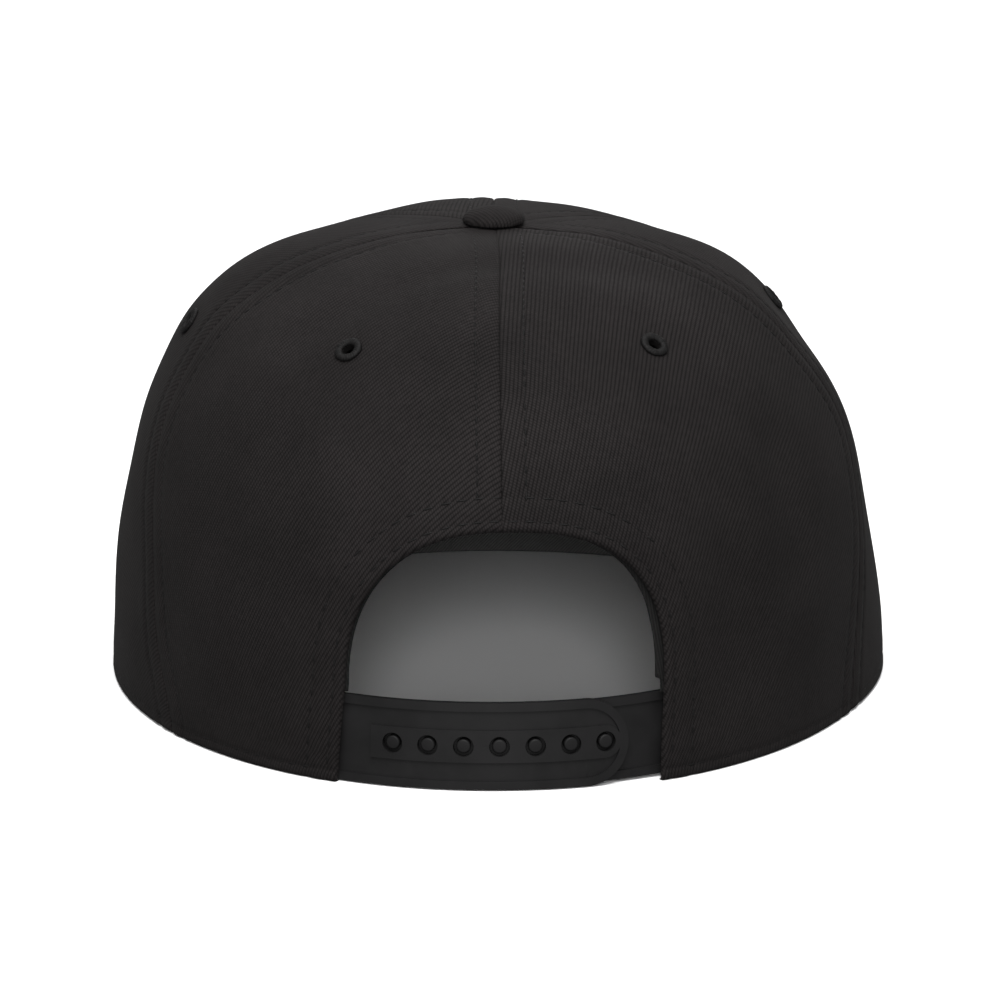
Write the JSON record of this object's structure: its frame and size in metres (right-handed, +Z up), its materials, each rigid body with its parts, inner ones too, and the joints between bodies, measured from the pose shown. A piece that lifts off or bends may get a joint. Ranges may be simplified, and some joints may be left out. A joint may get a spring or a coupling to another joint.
{
  "type": "snapback cap",
  "caption": "Panelled cloth cap with a flat peak, a covered button, stitched eyelets and an arched back opening closed by a pegged plastic strap.",
  "frame": {"origin": "middle of the whole cap's footprint, peak included, on the surface that it rests on", "axes": "+Z up from the hem to the button, -Y out along the peak, +X towards the wearer's left"},
  "size_m": [0.1772, 0.2634, 0.1068],
  "materials": {
    "twill": "matt black twill",
    "facing": "matt black cotton",
    "sweatband": "matt black cotton",
    "thread": "black thread",
    "strap": "satin black"
  },
  "bodies": {
    "root": {"back_panel_left": "twill", "back_panel_right": "twill", "side_panel_left": "twill", "side_panel_right": "twill", "front_panel_left": "twill", "front_panel_right": "twill", "arch_facing": "facing", "peak": "twill", "sweatband": "sweatband", "strap_with_holes": "strap", "strap_with_pegs": "strap", "eyelet_back_left": "thread", "eyelet_back_right": "thread", "eyelet_side_left": "thread", "eyelet_side_right": "thread", "eyelet_front_left": "thread", "eyelet_front_right": "thread", "button": "twill"}
  },
  "joints": []
}
